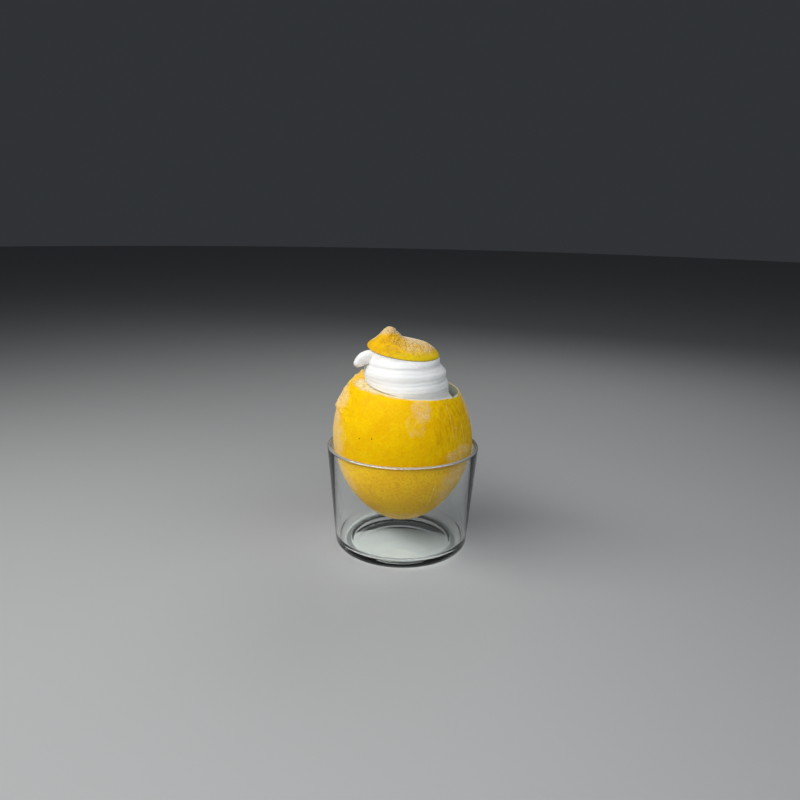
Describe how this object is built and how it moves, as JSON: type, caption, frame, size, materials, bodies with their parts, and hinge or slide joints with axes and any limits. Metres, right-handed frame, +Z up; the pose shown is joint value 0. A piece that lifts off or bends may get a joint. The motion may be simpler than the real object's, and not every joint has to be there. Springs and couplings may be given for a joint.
{
  "type": "frozen stuffed lemon in a glass tumbler",
  "caption": "Frozen hollowed lemon filled with piped white sorbet, its cut cap on top, standing in a small clear tumbler.",
  "frame": {"origin": "Centre of the tumbler's underside, on the surface that it stands on. The whole model's box has the same centre.", "axes": "+Z is up along the tumbler's axis. +X is the viewer's right and -Y faces the viewer; the lemon's tip points up and to -X."},
  "size_m": [0.0824, 0.0824, 0.122],
  "materials": {
    "clear_glass": "clear and polished, with a fire-rounded rim",
    "lemon_peel": "frozen lemon peel, waxy with a light frost",
    "lemon_sorbet": "smooth churned sorbet with a soft sheen",
    "lemon_cap_peel": "wrinkled frozen peel under hoarfrost"
  },
  "bodies": {
    "root": {"glass_tumbler": "clear_glass", "lemon_shell": "lemon_peel", "sorbet": "lemon_sorbet", "lemon_cap": "lemon_cap_peel"}
  },
  "joints": []
}
